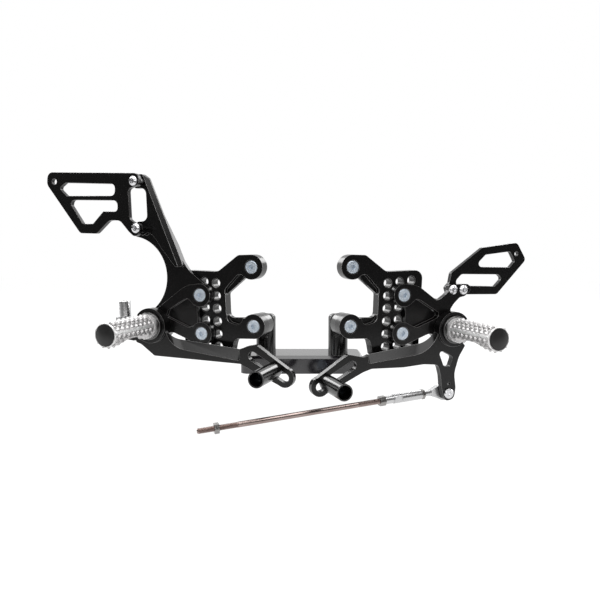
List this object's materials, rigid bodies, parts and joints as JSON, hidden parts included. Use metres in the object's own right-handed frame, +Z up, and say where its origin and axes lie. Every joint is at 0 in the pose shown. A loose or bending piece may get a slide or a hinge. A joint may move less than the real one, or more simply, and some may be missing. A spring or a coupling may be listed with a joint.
{
  "type": "rear sets footrest",
  "caption": "Black motorbike rear set footrests with knurled pegs, brake pedal, shift lever, heel guards and shift rod, held on a display stand.",
  "frame": {"origin": "middle of the underside of the stand bar", "axes": "+X from the brake side to the shift side, +Y from the pegs back towards the stand bar, +Z up"},
  "size_m": [0.5549, 0.1495, 0.2691],
  "materials": {
    "black_anodised": "satin black anodised",
    "peg_metal": "bright machined",
    "zinc_fasteners": "bluish zinc plate",
    "bright_steel": "bright",
    "silver_aluminium": "satin silver",
    "rod_steel": "brownish bright steel",
    "bronze": "plain bearing bronze"
  },
  "bodies": {
    "stand_and_frames": {"stand_bar": "black_anodised", "stand_post_brake": "black_anodised", "stand_post_shift": "black_anodised", "post_screws": "zinc_fasteners", "brake_frame_plate": "black_anodised", "brake_frame_spacer": "black_anodised", "brake_frame_bolts": "zinc_fasteners", "brake_heel_bracket": "black_anodised", "brake_peg_carrier": "black_anodised", "brake_carrier_bolts": "zinc_fasteners", "brake_carrier_nuts": "zinc_fasteners", "guard_standoffs": "black_anodised", "brake_heel_guard": "black_anodised", "brake_guard_screws": "bright_steel", "brake_pivot_sleeve": "bright_steel", "brake_collar": "black_anodised", "brake_peg": "peg_metal", "brake_peg_cap": "black_anodised", "brake_peg_bolt": "zinc_fasteners", "shift_frame_plate": "black_anodised", "shift_frame_spacer": "black_anodised", "shift_frame_bolts": "zinc_fasteners", "shift_peg_carrier": "black_anodised", "shift_carrier_bolts": "zinc_fasteners", "shift_carrier_nuts": "zinc_fasteners", "shift_heel_guard": "black_anodised", "shift_guard_screws": "bright_steel", "shift_pivot_sleeve": "bright_steel", "shift_collar": "black_anodised", "shift_peg": "peg_metal", "shift_peg_cap": "black_anodised", "shift_peg_bolt": "zinc_fasteners"},
    "brake_pedal": {"brake_lever": "black_anodised", "brake_pivot_bearing": "bronze", "brake_toe_tube": "black_anodised", "brake_toe_screw": "zinc_fasteners"},
    "brake_pushrod": {"pushrod_sleeve": "silver_aluminium", "pushrod_clevis": "silver_aluminium", "clevis_pin": "zinc_fasteners"},
    "shift_pedal": {"shift_lever": "black_anodised", "shift_pivot_bearing": "bronze", "shift_toe_tube": "black_anodised", "shift_toe_screw": "zinc_fasteners", "ball_bolt": "bright_steel"},
    "rod_ball": {"rod_end_ball": "bright_steel"},
    "shift_rod_assembly": {"rod_end": "bright_steel", "rod_end_nut": "zinc_fasteners", "rod_coupler": "silver_aluminium", "coupler_nut": "zinc_fasteners", "shift_rod": "rod_steel", "free_nut": "zinc_fasteners"}
  },
  "joints": [
    {"name": "brake_pedal_pivot", "type": "hinge", "parent": "stand_and_frames", "child": "brake_pedal", "pos_m": [-0.16592, -0.02392, 0.05481], "axis": [0.3338, 0.9426, 0], "range_deg": [0, 8]},
    {"name": "brake_pushrod_pivot", "type": "hinge", "parent": "brake_pedal", "child": "brake_pushrod", "pos_m": [-0.19957, -0.01201, 0.04519], "axis": [0.3338, 0.9426, 0], "range_deg": [-9, 1]},
    {"name": "shift_lever_pivot", "type": "hinge", "parent": "stand_and_frames", "child": "shift_pedal", "pos_m": [0.16608, -0.02387, 0.0508], "axis": [0.3338, -0.9426, 0], "range_deg": [-10, 5]},
    {"name": "shift_rod_swing", "type": "hinge", "parent": "shift_pedal", "child": "rod_ball", "pos_m": [0.15912, -0.01784, -0.02119], "axis": [0.3338, -0.9426, 0], "range_deg": [-6, 11]},
    {"name": "shift_rod_tilt", "type": "hinge", "parent": "rod_ball", "child": "shift_rod_assembly", "pos_m": [0.15912, -0.01784, -0.02119], "axis": [0.06, 0.0213, -0.998], "range_deg": [-6, 6]}
  ],
  "couplings": [
    {"joint": "brake_pushrod_pivot", "follows": "brake_pedal_pivot", "ratio": -1},
    {"joint": "shift_rod_swing", "follows": "shift_lever_pivot", "ratio": -1}
  ]
}
